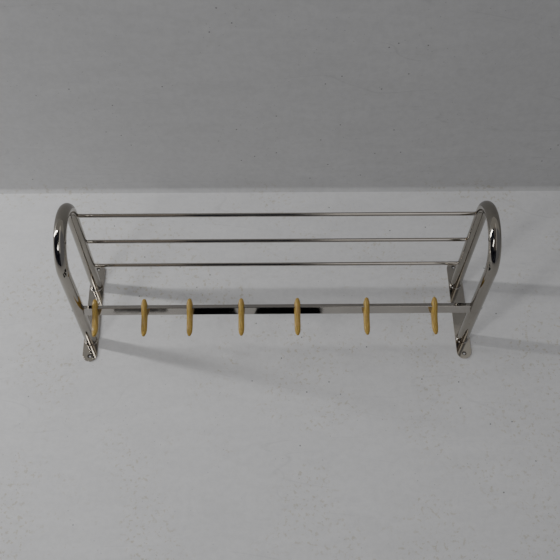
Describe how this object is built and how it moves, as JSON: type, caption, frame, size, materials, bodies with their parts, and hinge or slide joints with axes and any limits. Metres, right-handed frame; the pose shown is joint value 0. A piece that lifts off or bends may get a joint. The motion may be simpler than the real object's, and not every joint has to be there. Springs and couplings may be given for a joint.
{
  "type": "wall coat and hat rack",
  "caption": "Wall-mounted coat and hat rack with looped tube ends on wall plates, a rod shelf and wooden hooks that slide along a flat-sided rail.",
  "frame": {"origin": "in the wall plane, midway between the four wall screw holes", "axes": "+X along the hook rail, +Y up the wall when mounted, +Z out from the wall; stored lying on its wall plates, as in the picture"},
  "size_m": [0.857, 0.2508, 0.3772],
  "materials": {
    "loop_chrome": "polished chrome plate with fine rubbing marks",
    "plate_chrome": "polished chrome plate, scuffed round the screw holes",
    "rod_chrome": "polished chrome plate",
    "rail_chrome": "polished chrome plate with slide marks from the hooks",
    "plug_steel": "bare machined steel",
    "screw_steel": "dulled plated steel",
    "hook_wood": "honey-brown hardwood under worn satin varnish"
  },
  "bodies": {
    "rack": {"end_loop_left": "loop_chrome", "end_loop_right": "loop_chrome", "wall_plate_left": "plate_chrome", "wall_plate_right": "plate_chrome", "shelf_rod_low": "rod_chrome", "shelf_rod_middle": "rod_chrome", "shelf_rod_high": "rod_chrome", "hook_rail": "rail_chrome", "rail_plug_left": "plug_steel", "rail_plug_right": "plug_steel", "rail_screw_left": "screw_steel", "rail_screw_right": "screw_steel"},
    "hook_1_body": {"hook_1": "hook_wood"},
    "hook_2_body": {"hook_2": "hook_wood"},
    "hook_3_body": {"hook_3": "hook_wood"},
    "hook_4_body": {"hook_4": "hook_wood"},
    "hook_5_body": {"hook_5": "hook_wood"},
    "hook_6_body": {"hook_6": "hook_wood"},
    "hook_7_body": {"hook_7": "hook_wood"}
  },
  "joints": [
    {"name": "hook_1_slide", "type": "slide", "parent": "rack", "child": "hook_1_body", "axis": [1, 0, 0], "range_m": [-0.014, 0.0432]},
    {"name": "hook_2_slide", "type": "slide", "parent": "rack", "child": "hook_2_body", "axis": [1, 0, 0], "range_m": [-0.0432, 0.0395]},
    {"name": "hook_3_slide", "type": "slide", "parent": "rack", "child": "hook_3_body", "axis": [1, 0, 0], "range_m": [-0.0395, 0.046]},
    {"name": "hook_4_slide", "type": "slide", "parent": "rack", "child": "hook_4_body", "axis": [1, 0, 0], "range_m": [-0.046, 0.0508]},
    {"name": "hook_5_slide", "type": "slide", "parent": "rack", "child": "hook_5_body", "axis": [1, 0, 0], "range_m": [-0.0508, 0.0645]},
    {"name": "hook_6_slide", "type": "slide", "parent": "rack", "child": "hook_6_body", "axis": [1, 0, 0], "range_m": [-0.0645, 0.0633]},
    {"name": "hook_7_slide", "type": "slide", "parent": "rack", "child": "hook_7_body", "axis": [1, 0, 0], "range_m": [-0.0633, 0.0655]}
  ]
}
